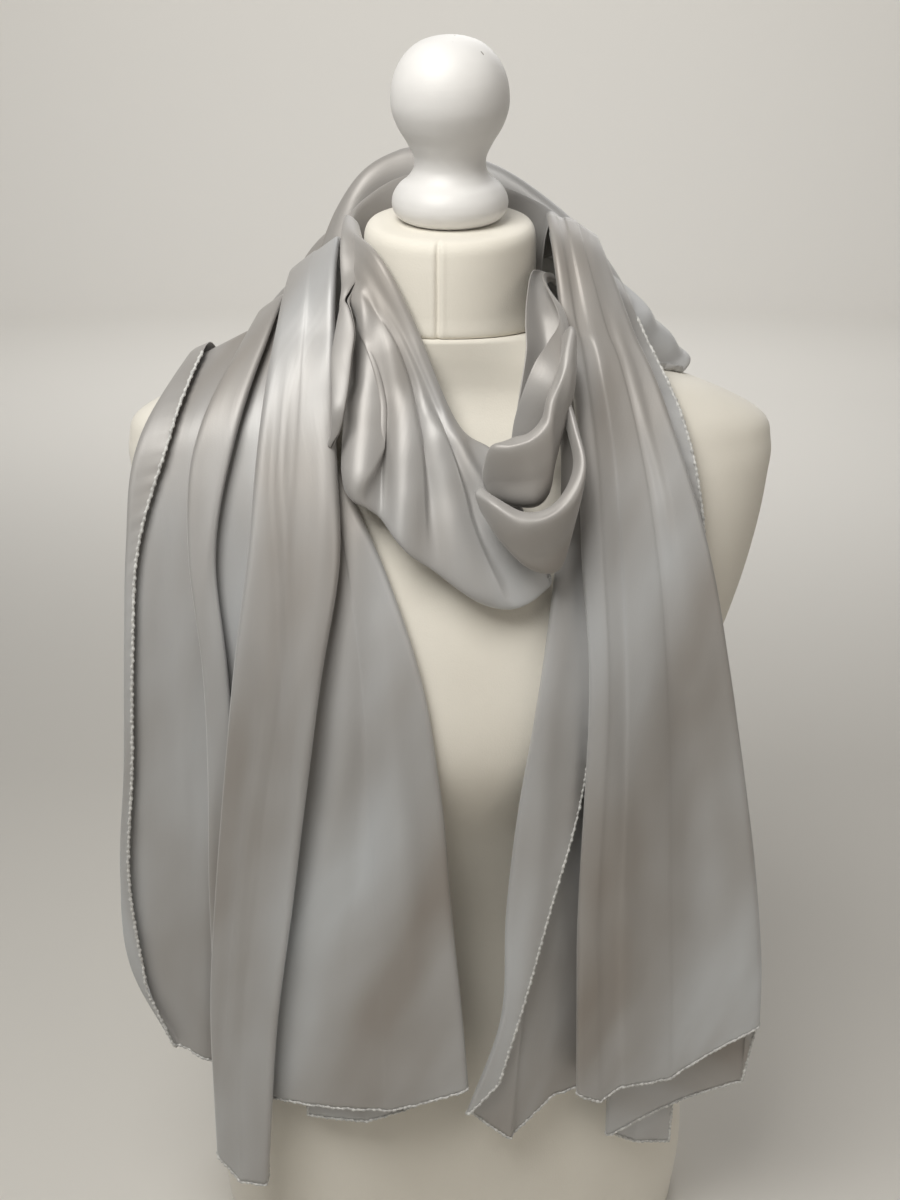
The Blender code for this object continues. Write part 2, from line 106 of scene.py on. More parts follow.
def spread(tree, source, low, high):
    """Value from 0 to 1 spread over a new range."""
    made = node(tree, "ShaderNodeMapRange", To_Min=low, To_Max=high)
    tree.links.new(source, made.inputs["Value"])
    return made.outputs["Result"]


# Satin: silver grey, glossy across its fine threads, with soft waves and faint streaks along
# the length of the cloth. Its base colour is painted in broad pale and dark patches: painted
# sheen and painted shade. UV is in metres across and along it.

def satin_material(name, light, painted_shade, roughness):
    made, tree, shader = start_material(name)
    uv = node(tree, "ShaderNodeUVMap", uv_map="cloth").outputs["UV"]
    patches = noise(tree, uv, (7, 3, 1), 1, 3)
    streaks = noise(tree, uv, (700, 25, 1), 1, 2)
    threads = noise(tree, uv, (1500, 1100, 1), 1, 1)
    waves = noise(tree, uv, (34, 8, 1), 1, 2)
    # Painted sheen and shade: pale cool patches stand in for the satin's broad sheen, dark warm ones for
    # its shade.
    base = ramp(tree, patches, (0.32, painted_shade), (0.68, light))
    shader.inputs["Metallic"].default_value = 0.22
    shader.inputs["Sheen Weight"].default_value = 0.3
    shader.inputs["Sheen Roughness"].default_value = 0.4
    shader.inputs["Anisotropic"].default_value = 0.55
    tangent = node(tree, "ShaderNodeTangent", direction_type="UV_MAP", uv_map="cloth")
    tree.links.new(tangent.outputs["Tangent"], shader.inputs["Tangent"])
    tree.links.new(base, shader.inputs["Base Color"])
    tree.links.new(spread(tree, streaks, roughness - 0.05, roughness + 0.07), shader.inputs["Roughness"])
    normal = bump(tree, waves, 0.004, 0.22)
    normal = bump(tree, streaks, 0.0003, 0.12, normal)
    normal = bump(tree, threads, 0.0002, 0.22, normal)
    tree.links.new(normal, shader.inputs["Normal"])
    return made


def hem_material():
    """Rolled hem: the same cloth turned on itself, paler and matt, with its thread."""
    made, tree, shader = start_material("rolled hem")
    place = node(tree, "ShaderNodeTexCoord").outputs["Object"]
    base = ramp(tree, noise(tree, place, (420, 420, 420), 1, 2), (0.35, "#B1B1AF"), (0.65, "#D9D9D6"))
    tree.links.new(base, shader.inputs["Base Color"])
    shader.inputs["Roughness"].default_value = 0.55
    shader.inputs["Sheen Weight"].default_value = 0.3
    return made


# Jersey: cream knit with fine ribs round the form, slightly mottled.

def jersey_material():
    made, tree, shader = start_material("knit jersey")
    place = node(tree, "ShaderNodeTexCoord").outputs["Object"]
    patches = noise(tree, place, (9, 9, 6), 1, 4)
    knit = noise(tree, place, (1300, 1300, 900), 1, 1)
    slubs = noise(tree, place, (120, 120, 420), 1, 2)
    base = ramp(tree, patches, (0.3, "#DFDACF"), (0.7, "#E9E5DB"))
    tree.links.new(base, shader.inputs["Base Color"])
    tree.links.new(spread(tree, slubs, 0.78, 0.92), shader.inputs["Roughness"])
    shader.inputs["Sheen Weight"].default_value = 0.25
    normal = bump(tree, knit, 0.0003, 0.35)
    normal = bump(tree, slubs, 0.0003, 0.18, normal)
    tree.links.new(normal, shader.inputs["Normal"])
    return made


# Painted wood: matt white brushed on, with small scuffs and a few bare specks.

def paint_material():
    made, tree, shader = start_material("painted wood")
    place = node(tree, "ShaderNodeTexCoord").outputs["Object"]
    brush = noise(tree, place, (45, 45, 380), 1, 2)
    patches = noise(tree, place, (22, 22, 22), 1, 3)
    scuffs = noise(tree, place, (150, 150, 60), 1, 3)
    base = ramp(tree, patches, (0.3, "#DCDBDA"), (0.7, "#E6E5E4"))
    worn = ramp(tree, scuffs, (0.235, "#8E8A84"), (0.27, "#FFFFFF"))
    mixed = node(tree, "ShaderNodeMix", data_type="RGBA", blend_type="MULTIPLY", Factor=1.0)
    tree.links.new(base, mixed.inputs[6])
    tree.links.new(worn, mixed.inputs[7])
    tree.links.new(mixed.outputs[2], shader.inputs["Base Color"])
    tree.links.new(spread(tree, patches, 0.38, 0.52), shader.inputs["Roughness"])
    normal = bump(tree, brush, 0.0004, 0.2)
    normal = bump(tree, scuffs, 0.0006, 0.15, normal)
    tree.links.new(normal, shader.inputs["Normal"])
    return made


# The satin's pale tone is its painted sheen and its dark tone its painted shade, then its roughness.
SATIN = satin_material("silver satin cloth", "#C8CBCE", "#979089", 0.47)
HEM = hem_material()
JERSEY = jersey_material()
PAINT = paint_material()


# Camera at the photograph's viewing angle

camera = bpy.data.objects.new("camera", bpy.data.cameras.new("camera"))
camera.data.lens = 37.5
camera.data.sensor_width = 36
camera.location = (0, -0.789, 0.8025)
camera.rotation_euler = (np.radians(69), 0, 0)
bpy.context.scene.collection.objects.link(camera)
bpy.context.scene.camera = camera


# Gap between the form's pieces, and how far inside the torso the ends' lowest layer starts.
SEAM_GAP = 0.3
SEAT = 1.0

# Torso of the form: one row for each level, from the flat base to the neck seam.
# Columns: height, half width, front depth, back depth.
TORSO_LEVELS = np.array([
    (0, 178, 96, 112),
    (70, 182, 100, 118),
    (150, 168, 98, 106),
    (230, 142, 92, 84),
    (300, 127, 88, 72),
    (370, 136, 100, 77),
    (440, 160, 126, 88),
    (500, 184, 117, 96),
    (551, 198, 100, 98),
    (590, 204, 84, 93),
    (613, 205, 72, 86),
    (631, 197, 63, 78),
    (641, 178, 58, 73),
    (651, 152, 55, 68),
    (662, 112, 55, 64),
    (672, 80, 56, 61),
    (683, 57, 57, 58),
])
TORSO_POWER = 2.3

# Neck block: height above the neck seam, half width, half depth.
NECK_LEVELS = np.array([
    (0, 54.5, 56), (12, 53, 55), (44, 52.5, 54.5), (56, 52, 54), (61, 50.5, 52.5), (63, 47, 49),
])
NECK_SEAM_HEIGHT = TORSO_LEVELS[-1, 0] + SEAM_GAP
NECK_TOP_SLOPE = 0.17

# Turned knob: radius and height above its seat, from the seat to the tip.
KNOB_PROFILE = (
    (0, 0), (27, 0), (32, 3), (35, 9), (34.5, 14), (31, 20), (25, 25), (21.5, 31), (21.5, 36),
    (25, 44), (31, 54), (34.3, 64), (34.5, 71), (32.5, 81), (27, 91), (18, 98.5), (9, 101.5), (0, 102.5),
)


def smooth_through(knots, values, at):
    """Values at new places on a curve that bends smoothly through its knots: cubic pieces whose
    slope at each knot is the chord between that knot's two neighbours."""
    knots, values, at = (np.asarray(a, float) for a in (knots, values, at))
    flat = values.reshape(len(knots), -1)
    slope = np.gradient(flat, knots, axis=0)
    k = np.clip(np.searchsorted(knots, at, side="right") - 1, 0, len(knots) - 2)
    span = (knots[k + 1] - knots[k])[:, None]
    t = np.clip((at - knots[k])[:, None] / span, 0, 1)
    out = (
        (2 * t**3 - 3 * t**2 + 1) * flat[k]
        + (t**3 - 2 * t**2 + t) * span * slope[k]
        + (3 * t**2 - 2 * t**3) * flat[k + 1]
        + (t**3 - t**2) * span * slope[k + 1]
    )
    return out.reshape((len(at),) + values.shape[1:])


def torso_size(height):
    """Half width, front depth and back depth of the torso at each height."""
    levels = TORSO_LEVELS[:, 0]
    return smooth_through(levels, TORSO_LEVELS[:, 1:], np.clip(height, levels[0], levels[-1])).T


def hanging_line(x, height):
    """Depth that the lifts of a hanging end start from: the foremost that the torso reaches at
    this height or above it, a little inside its surface so that the lowest layer touches it."""
    x, height = np.broadcast_arrays(np.asarray(x, float), np.asarray(height, float))
    foremost = np.full(x.shape, 0.0)
    for above in range(0, 505, 7):
        level = np.minimum(height + above, 676.0)
        half, front, _ = torso_size(level.ravel())
        half, front = half.reshape(x.shape), front.reshape(x.shape)
        share = np.abs(x) / half
        share = share / (1 + (share / 0.85) ** 6) ** (1 / 6)
        foremost = np.minimum(foremost, -front * (1 - share**TORSO_POWER) ** (1 / TORSO_POWER))
    return foremost + SEAT


def rounded(near, radius):
    """Rise of a round edge at a distance from it, from 0 to 1: a quarter circle of this radius."""
    return np.sqrt(1 - (1 - np.clip(near / radius, 0, 1)) ** 2)


def oval(half, front, back, power, around):
    """Rounded outline: a superellipse with its own depth in front and behind."""
    turn = np.linspace(0, 2 * np.pi, around, endpoint=False)
    c, s = np.cos(turn), np.sin(turn)
    x = half * np.sign(c) * np.abs(c) ** (2 / power)
    y = np.where(s < 0, front, back) * np.sign(s) * np.abs(s) ** (2 / power)
    return np.stack([x, y], -1)


def in_grid(lines, along, across):
    """Surface lofted through lines of points: smooth along each line and from line to line."""
    grid = np.array(list(lines.values()), float)
    for count in (along, across):
        knots = np.arange(grid.shape[1])
        grid = smooth_through(knots, grid.transpose(1, 0, 2), np.linspace(0, knots[-1], count))
    return grid.transpose(1, 0, 2)


def form_distance(points):
    """About how far each point stands off the form, in millimetres."""
    height = points[..., 2]
    half, front, back = torso_size(height.ravel()).reshape((3,) + height.shape)
    power = np.where(height > NECK_SEAM_HEIGHT, 2.0, TORSO_POWER)
    depth = np.where(points[..., 1] < 0, front, back)
    rise = height - NECK_SEAM_HEIGHT
    neck = NECK_LEVELS[:4]
    half = np.where(rise > 0, np.interp(rise, neck[:, 0], neck[:, 1]), half)
    depth = np.where(rise > 0, np.interp(rise, neck[:, 0], neck[:, 2]), depth)
    x, y = np.abs(points[..., 0]), np.abs(points[..., 1])
    reach = np.hypot(x, y)
    level = ((x / half) ** power + (y / depth) ** power) ** (1 / power)
    return reach * (1 - 1 / np.maximum(level, 0.01))


def clear_of_form(points, gap):
    """Points moved off the form, where they are nearer to it than the gap."""
    points = points.copy()
    for _ in range(12):
        near = form_distance(points)
        way = np.stack([
            form_distance(points + step) - form_distance(points - step) for step in np.eye(3)
        ], -1)
        size = np.linalg.norm(way, axis=-1, keepdims=True)
        points += np.clip(gap - near, 0, 6)[..., None] * way / np.maximum(size, 0.2)
    return points


# The hanging ends. Each row is a fold edge or a free edge of the cloth, in order across it.
# Columns: x where it crosses the shoulder, x at each of END_HEIGHTS, x at its hem and the hem's
# height, and how far the run after it stands off the resting line, at the shoulder and at the hem.
END_HEIGHTS = (620, 560, 500, 420, 340, 260)
LEFT_END = {
    "outer_hem": (-154, -168, -188, -194, -201, -211, -214, -207, 247, 10, 10),
    "outer_fold": (-166, -187, -196, -200, -207, -217, -216, -191, 199, 4, 4),
    "under_a": (-115, -143, -148, -142, -144, -149, -152, -154, 182, 9, 9),
    "fold_a_left": (-121, -151, -156, -150, -151, -156, -159, -162, 178, 14, 14),
    "fold_a_right": (-104, -127, -139, -134, -132, -137, -140, -145, 168, 9.5, 9.5),
    "tuck_a": (-110, -134, -144, -138, -138, -143, -146, -150, 170, 5, 5),
    "under_front": (-92, -98, -103, -112, -122, -130, -134, -139, 148, 19, 19),
    "front_left": (-100, -111, -117, -127, -139, -150, -159, -164, 124, 25, 25),
    "front_crease": (-84, -88, -92, -98, -112, -124, -137, -147, 103, 24, 24),
    "front_right": (-68, -66, -63, -74, -87, -99, -112, -128, 106, 15, 15),
    "under_inner": (-78, -77, -76, -88, -101, -110, -119, -127, 172, 9, 9),
    "inner_mid": (-75, -73, -60, -52, -48, -46, -44, -43, 186, 10, 10),
    "inner_right": (-71, -69, -40, -18, -5, 1, 8, 12, 205, 4, 4),
    "lap": (-75, -72, -50, -42, -46, -50, -54, -58, 168, 2.95, 2.95),
    "inner_hem": (-79, -75, -60, -62, -75, -85, -92, -98, 162, 3.5, 3.5),
}
RIGHT_END = {
    "corner_hem": (72, 84, 87, 87, 80, 62, 44, 32, 210, 11, 11),
    "fold_left": (61, 70, 62, 54, 42, 35, 33, 11, 184, 5, 4),
    "flare": (68, 80, 78, 72, 62, 54, 48, 42, 155, 4, -1),
    "valley": (72, 94, 96, 94, 86, 78, 72, 70, 184, 4, -1),
    "under_main": (76, 100, 104, 104, 102, 100, 102, 104, 189, 15, 15),
    "main_left": (59, 74, 76, 81, 81, 80, 82, 84, 200, 21, 21),
    "roll": (65, 84, 88, 92, 93, 93, 97, 101, 188, 19.5, 19.5),
    "dip": (70, 94, 99, 103, 106, 107, 111, 116, 195, 21, 21),
    "main_mid": (77, 110, 121, 128, 136, 141, 147, 151, 190, 20, 20),
    "main_right": (92, 133, 153, 167, 184, 199, 210, 212, 225, 12, 12),
    "behind_right": (89, 126, 144, 158, 176, 191, 202, 205, 170, 10, 10),
    "behind_mid": (86, 120, 132, 141, 150, 155, 157, 158, 158, 10, 10),
    "tuck_behind": (82, 106, 112, 114, 112, 108, 107, 108, 145, 4, 4),
    "corner_mid": (94, 124, 130, 132, 132, 130, 129, 130, 127, 5, 5),
    "side_hem": (106, 143, 153, 156, 157, 158, 158, 157, 118, 3.5, 3.5),
}

# Line along which each end lies over the shoulder: distance from the middle and height.
LEFT_CREST = np.array([
    (60, 716), (68, 713), (84, 702), (100, 690), (121, 676), (152, 661), (166, 655), (225, 636),
])
RIGHT_CREST = np.array([
    (50, 732), (60, 730), (84, 722), (96, 712), (108, 702), (125, 688), (153, 660), (225, 636),
])

# Depth of that line, and the radius and angle in radians of the left end's turn behind it.
CREST_DEPTH = 12.0
BACK_TURN = 42.0
BACK_ANGLE = 1.15

# Radius of the pleats' folds and spacing of the grid across them, in millimetres, and how many
# times the front is smoothed down its length.
FOLD_RADIUS = 4.5
SPACING = 2.3
SMOOTHING = 14


def resting(x, z, crest):
    """Depth of the resting line of a hanging end: it bends round from the crest over the
    shoulder, then lies on the chest or hangs clear below it."""
    crest_z = np.interp(np.abs(x), crest[:, 0], crest[:, 1])
    shoulder = TORSO_LEVELS[:8:-1]
    shoulder_z = np.interp(np.abs(x), shoulder[:, 1], shoulder[:, 0])
    bend = crest_z - shoulder_z + 26
    t = np.clip((crest_z - z) / bend, 0.004, 1)
    hang = hanging_line(x, z)
    return CREST_DEPTH + (hang - CREST_DEPTH) * np.sqrt(1 - (1 - t) ** 2)


def end_rails(table, crest, rows):
    """x and height of each fold edge of an end at each row, from the crest to the hem, and the
    share of the way down at each row."""
    down = np.linspace(0, 1, rows) ** 1.25
    low = min(row[8] for row in table.values())
    x_rails, z_rails = [], []
    for row in table.values():
        crest_z = np.interp(abs(row[0]), crest[:, 0], crest[:, 1])
        hem_x, hem_z = row[7], row[8]
        levels = [(crest_z, row[0])]
        levels += [(h, x) for h, x in zip(END_HEIGHTS, row[1:7]) if h > hem_z + 25]
        levels.append((hem_z, hem_x))
        known = np.array(levels[::-1], float)
        z = crest_z + (low - crest_z) * down + (hem_z - low) * down**2
        x_rails.append(smooth_through(known[:, 0], known[:, 1], z))
        z_rails.append(z)
    return np.array(x_rails), np.array(z_rails), down


# The cowl on the chest: its fold lines run from the left of the neck down to its low edge. Each
# line has seven points (x, depth, height), and the last is turned under.
COWL_LINES = {
    "low_edge": (
        (-66, 3, 685), (-66.3, -24, 680), (-64.2, -50.5, 664.1), (-61, -71, 646), (-60, -84, 624),
        (-57, -95, 605), (-56, -84, 607),
    ),
    "ridge_1": (
        (-67, 2, 692), (-69, -29, 687), (-58, -57, 672), (-55, -78, 648), (-54, -94, 624),
        (-51, -107, 601), (-51, -95, 603),
    ),
    "side_1": (
        (-66, 1, 699), (-65, -32, 694), (-51, -57, 676), (-46, -76, 649), (-46, -91, 625),
        (-45, -106, 596), (-45, -94, 598),
    ),
    "pleat_1": (
        (-65, 0, 705), (-61, -32, 699), (-45, -54, 679), (-38, -68, 648), (-38, -82, 623),
        (-39, -101, 591), (-39, -89, 593),
    ),
    "ridge_2": (
        (-66, -1, 712), (-61, -37, 705), (-40, -60, 682), (-32, -76, 650), (-30, -96, 622),
        (-31, -116, 584), (-31, -103, 586),
    ),
    "side_2": (
        (-66, -2, 715), (-58, -40, 710), (-36, -61, 684), (-25, -75, 650), (-22, -96, 620),
        (-21, -119, 574), (-21, -106, 576),
    ),
    "pleat_2": (
        (-65, -3, 721), (-55, -40, 714), (-33, -59, 684), (-20, -70, 650), (-15, -90, 616),
        (-10, -115, 566), (-10, -102, 568),
    ),
    "ridge_3": (
        (-65, -4, 727), (-52, -42, 718), (-29, -62, 685), (-14, -77, 649), (-3, -99, 610),
        (8, -126, 556), (9, -112, 558),
    ),
    "pleat_3": (
        (-64, -5, 731), (-49, -42, 722), (-26, -61, 685), (-8, -74, 645), (7, -94, 604),
        (27, -117, 546), (27, -104, 549),
    ),
    "ridge_4": (
        (-64, -6, 735), (-46, -44, 725), (-22, -63, 685), (-2, -79, 643), (17, -99, 606),
        (41, -123, 545), (41, -109, 549),
    ),
    "top_edge": (
        (-63, -6, 739), (-43, -45, 727), (-18, -63, 684), (5, -75, 637), (29, -88, 617),
        (56, -112, 555), (54, -100, 558),
    ),
}

# The outer loop beside the cowl: cloth that comes up out of a pocket, over a rolled rim and down.
# Lines run across it from left to right, then up beside the neck.
LOOP_LINES = {
    "inside": (
        (17, -121, 606), (26, -130, 601), (40, -136, 593), (54, -135, 596), (64, -129, 606),
        (70, -120, 620), (67, -108, 636), (62, -100, 650), (59, -90, 661),
    ),
    "rim_in": (
        (17, -122, 613), (26, -131, 609), (40, -137, 603), (53, -136, 605), (63, -130, 614),
        (68, -121, 627), (65, -110, 643), (62, -101, 655), (59, -91, 665),
    ),
    "rim": (
        (14, -127, 612), (24, -137, 609), (39, -143, 603), (53, -142, 604), (65, -136, 614),
        (71, -127, 628), (68, -115, 645), (64, -104, 659), (60, -93, 669),
    ),
    "rim_out": (
        (14, -128, 609), (24, -139, 605), (39, -146, 598), (54, -145, 600), (68, -138, 609),
        (74, -128, 625), (71, -115, 641), (67, -105, 655), (62, -94, 667),
    ),
    "belly": (
        (16, -127, 603), (26, -136, 592), (39, -141, 583), (53, -140, 580), (64, -134, 586),
        (71, -127, 603), (71, -115, 619), (69, -106, 640), (64, -95, 659),
    ),
    "low": (
        (17, -124, 601), (28, -130, 585), (41, -134, 572), (53, -134, 567), (62, -130, 569),
        (66, -123, 583), (67, -113, 603), (66, -103, 628), (64, -94, 652),
    ),
    "under": (
        (20, -108, 601), (31, -110.5, 585), (42, -110.8, 573), (52, -112, 568), (59, -113, 571),
        (62, -112, 583), (63, -106, 602), (63, -99, 625), (61, -92, 650),
    ),
}

# The inner loop: its rim lies behind the outer one, and its foot goes down into the outer pocket.
# Lines run as the outer one's do.
INNER_LINES = {
    "inside": (
        (24, -108, 619), (28, -112, 626), (35, -113, 629), (44, -112, 633), (51, -107, 641),
        (54, -104, 653), (57, -100, 663), (61, -93, 677), (63, -83, 690),
    ),
    "rim_in": (
        (22, -112, 624), (26, -118, 634), (34, -120, 640), (43, -120, 643), (50, -116, 650),
        (53, -111, 660), (57, -105, 669), (62, -98, 682), (65, -86, 694),
    ),
    "rim": (
        (19, -117, 624), (23, -123, 637), (33, -127, 639), (43, -127, 642), (51, -123, 649),
        (54, -117, 660), (59, -108, 670), (63, -101, 683), (67, -89, 696),
    ),
    "top": (
        (18, -118, 620), (22, -125, 633), (33, -129, 635), (45, -129, 638), (54, -125, 645),
        (57, -119, 657), (61, -111, 668), (66, -103, 681), (69, -91, 694),
    ),
    "middle": (
        (19, -117, 613), (25, -122, 618), (35, -126, 618), (46, -128, 620), (55, -125, 626),
        (58, -120, 639), (63, -112, 656), (68, -104, 673), (70, -92, 688),
    ),
    "low": (
        (22, -115, 607), (28, -119, 605), (38, -123, 603), (48, -125, 604), (55, -121, 610),
        (58, -116, 624), (63, -109, 643), (69, -101, 664), (70, -91, 682),
    ),
    "foot": (
        (24, -103, 603), (30, -102, 600), (39, -97.7, 598), (48, -101, 598), (53, -103, 604),
        (56, -102, 616), (61, -101, 636), (67, -96, 660), (68, -88, 679),
    ),
}

# The petal that the loops hang from: folded lengthwise, with its lip crossing to the left as it
# goes down into the inner pocket. Lines run down it.
PETAL_LINES = {
    "left_edge": (
        (62, -10, 711), (55, -22, 718), (48, -34, 719), (44, -56, 706), (43, -68, 694), (43, -78, 681),
        (40, -87, 663), (37, -92, 643), (35, -94, 626),
    ),
    "hollow": (
        (64, -10, 709), (58, -21, 717), (51, -30, 715), (52, -50, 702), (54, -60, 691), (56, -70, 677),
        (54, -81, 660), (49, -86, 640), (45, -89, 626),
    ),
    "right": (
        (66, -10, 708), (62, -22, 713), (57, -33, 711), (65, -55, 700), (68, -73, 686), (68, -86, 671),
        (66, -94, 657), (61, -96, 644), (55, -96, 630),
    ),
    "strip": (
        (66, -14, 709), (61, -28, 715), (56, -41, 714), (64, -66, 698), (64, -84, 685), (61, -98, 671),
        (57, -103, 659), (52, -102, 643), (46, -101, 629),
    ),
    "lip": (
        (65, -16, 711), (60, -30, 718), (54, -43, 717), (62, -69, 698), (55, -85, 687), (47, -95, 677),
        (41, -99, 663), (36, -100, 646), (34, -101, 630),
    ),
}

# The two rolls behind the neck. Lines run from the left shoulder round the back to the right, and
# the outer one's go on under the right end.
NAPE_INNER_LINES = {
    "inside_low": (
        (-60, 7, 698), (-49, 27, 712), (-28, 48, 724), (0, 55, 726), (28, 48, 722), (49, 29, 714),
        (57, 16, 712),
    ),
    "inside": (
        (-60, 7, 732), (-54, 28, 744), (-30, 52, 756), (0, 61, 758), (30, 52, 752), (55, 30, 742),
        (60, 16, 738),
    ),
    "top": (
        (-63, 7, 741), (-57, 30, 753), (-32, 56, 768), (0, 65, 770), (32, 56, 763), (58, 32, 753),
        (66, 16, 747),
    ),
    "outside": (
        (-66.5, 7, 732), (-60, 33, 744), (-34, 59, 758), (0, 69, 759), (34, 60, 753), (62, 35, 744),
        (74, 16, 741),
    ),
    "low": (
        (-67, 7, 690), (-61, 33, 700), (-35, 59, 712), (0, 69, 712), (35, 60, 710), (66, 36, 722),
        (84, 16, 733),
    ),
}
NAPE_OUTER_LINES = {
    "inside_low": (
        (-80, 52, 676), (-62, 64, 722), (-32, 76, 738), (0, 80, 738), (32, 76, 732), (62, 60, 720),
        (80, 38, 708), (88, 17, 700), (87, 2, 692), (84, -12, 684),
    ),
    "inside": (
        (-82, 52, 679), (-62, 65, 750), (-32, 77, 774), (0, 81, 774), (32, 77, 764), (62, 62, 746),
        (82, 40, 728), (92, 17, 712), (91, 0, 702), (87, -14, 690),
    ),
    "top": (
        (-89, 52, 675), (-67, 70, 757), (-34, 84, 784), (0, 88, 783), (34, 84, 773), (67, 68, 752),
        (90, 42, 731), (100, 17, 714), (98, 0, 706), (92, -14, 694),
    ),
    "high": (
        (-99, 52, 667), (-75, 78, 748), (-37, 94, 774), (0, 98, 774), (37, 94, 764), (75, 75, 742),
        (99, 44, 721), (109, 17, 705), (106, 0, 698), (98, -14, 688),
    ),
    "valley_a": (
        (-110, 52, 658), (-82, 77, 731), (-40, 92, 756), (0, 97, 756), (40, 92, 748), (81, 75, 727),
        (104, 44, 709), (115, 17, 696), (111, 0, 689), (101, -14, 680),
    ),
    "ridge_b": (
        (-121, 52, 651), (-94, 84, 721), (-46, 102, 743), (0, 108, 743), (46, 102, 735), (91, 82, 716),
        (114, 47, 702), (126, 17, 691), (121, 0, 684), (108, -14, 676),
    ),
    "valley_b": (
        (-133, 52, 645), (-102, 83, 706), (-49, 100, 726), (0, 105, 725), (49, 100, 719), (97, 82, 703),
        (120, 47, 691), (132, 17, 682), (127, 0, 675), (112, -14, 669),
    ),
    "ridge_c": (
        (-146, 52, 641), (-113, 89, 695), (-54, 106, 707), (0, 111, 706), (54, 106, 702),
        (106, 88, 690), (130, 49, 682), (142, 17, 674), (135, 1, 666), (118, -12, 661),
    ),
    "valley_c": (
        (-157, 52, 636), (-121, 88, 680), (-57, 100, 688), (0, 105, 687), (57, 100, 684),
        (112, 88, 677), (137, 50, 672), (148, 17, 665), (140, 2, 658), (122, -10, 655),
    ),
    "low": (
        (-167, 52, 632), (-130, 92, 660), (-61, 101, 662), (0, 104, 660), (61, 101, 660),
        (119, 91, 660), (145, 52, 660), (154, 17, 660), (146, 3, 653), (127, -8, 650),
    ),
    "turned_under": (
        (-163, 54, 626), (-127, 86, 650), (-60, 93, 650), (0, 95, 649), (60, 93, 649), (115, 86, 652),
        (138, 50, 650), (146, 17, 651), (140, 5, 648), (123, -5, 646),
    ),
}


# Meshes

def grid_faces(rows, across, closed=False):
    """Faces of a grid points[v, u]; closed joins its last column to its first."""
    here = np.arange(across if closed else across - 1)
    after = (here + 1) % across
    row = np.arange(rows - 1)[:, None] * across
    corners = (row + here, row + after, row + across + after, row + across + here)
    return np.stack(corners, -1).reshape(-1, 4)


def closed_faces(rings):
    """Faces of a tube through rings of equal count; each of its ends is closed by one face."""
    count, around = rings.shape[:2]
    faces = grid_faces(count, around, closed=True).tolist()
    faces.append(list(range(around))[::-1])
    faces.append(list(range((count - 1) * around, count * around)))
    return faces


def add_piece(name, points, faces, finish):
    """Piece from points in millimetres, shaded smooth, riding on the part."""
    mesh = bpy.data.meshes.new(name)
    mesh.from_pydata((points.reshape(-1, 3) * MM).tolist(), [], faces)
    mesh.update()
    mesh.shade_smooth()
    mesh.materials.append(finish)
    made = bpy.data.objects.new(name, mesh)
    bpy.context.scene.collection.objects.link(made)
    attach(made, "root")
    return made


def set_uv(piece, across, along):
    """UV in metres across and along the cloth, one value for each point."""
    mesh = piece.data
    corners = np.empty(len(mesh.loops), int)
    mesh.loops.foreach_get("vertex_index", corners)
    uv = np.stack([across.ravel(), along.ravel()], -1) * MM
    mesh.uv_layers.new(name="cloth").data.foreach_set("uv", uv[corners].ravel())


def lengths(points, axis):
    """Distance run along one axis of a grid, from its first point."""
    step = np.linalg.norm(np.diff(points, axis=axis), axis=-1)
    start = np.zeros_like(np.take(step, [0], axis=axis))
    return np.concatenate([start, np.cumsum(step, axis=axis)], axis=axis)


# Rolled hem: its radius, the step from ring to ring and the distance from bead to bead, in
# millimetres, and the corners of a ring.
HEM_RADIUS = 0.95
HEM_STEP = 0.62
BEAD_SPACING = 3.7
HEM_CORNERS = 8


def rolled_hem(name, line):
    """Rolled hem along a free edge: a fine tube that its stitches pinch every few millimetres,
    so that it looks beaded. Its rings are carried along the edge without twisting."""
    far = np.concatenate([[0], np.cumsum(np.linalg.norm(np.diff(line, axis=0), axis=1))])
    at = np.arange(0, far[-1], HEM_STEP)
    path = np.stack([np.interp(at, far, line[:, k]) for k in range(3)], -1)
    for _ in range(3):
        path[1:-1] = (path[:-2] + 2 * path[1:-1] + path[2:]) / 4
    ahead = np.gradient(path, axis=0)
    ahead /= np.linalg.norm(ahead, axis=1, keepdims=True)
    side = np.cross(ahead[0], (0.1, -1.0, 0.2))
    sides = []
    for way in ahead:
        side = side - way * np.dot(side, way)
        side = side / np.linalg.norm(side)
        sides.append(side)
    sides = np.array(sides)
    ups = np.cross(ahead, sides)
    bead = np.sin(2 * np.pi * at / BEAD_SPACING)
    size = HEM_RADIUS * (1 + 0.24 * bead + 0.08 * np.sin(at * 0.31))
    path = path + sides * (0.22 * np.sin(np.pi * at / BEAD_SPACING + 1.0))[:, None]
    turn = np.linspace(0, 2 * np.pi, HEM_CORNERS, endpoint=False)[:, None]
    round_path = np.cos(turn) * sides[:, None] + np.sin(turn) * ups[:, None]
    rings = path[:, None] + size[:, None, None] * round_path
    return add_piece(name, rings, closed_faces(rings), HEM)


def add_shell(name, points):
    """Stretch of cloth: a thin shell on a grid of points[v, u] in millimetres."""
    faces = grid_faces(*points.shape[:2]).tolist()
    piece = add_piece(name + "_satin", points, faces, SATIN)
    set_uv(piece, lengths(points, 1), lengths(points, 0))
    wall = piece.modifiers.new("wall", "SOLIDIFY")
    wall.thickness = CLOTH * MM
    wall.offset = 0
    return piece


def add_sheet(name, points):
    """Shell in place of the node of this name."""
    piece = add_shell(name, points)
    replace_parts(piece, name)
    return piece


# The form: torso, neck block and knob

def add_form(name, rings, finish, replaced):
    """Piece of the form, closed, through rings of equal count."""
    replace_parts(add_piece(name, rings, closed_faces(rings), finish), replaced)


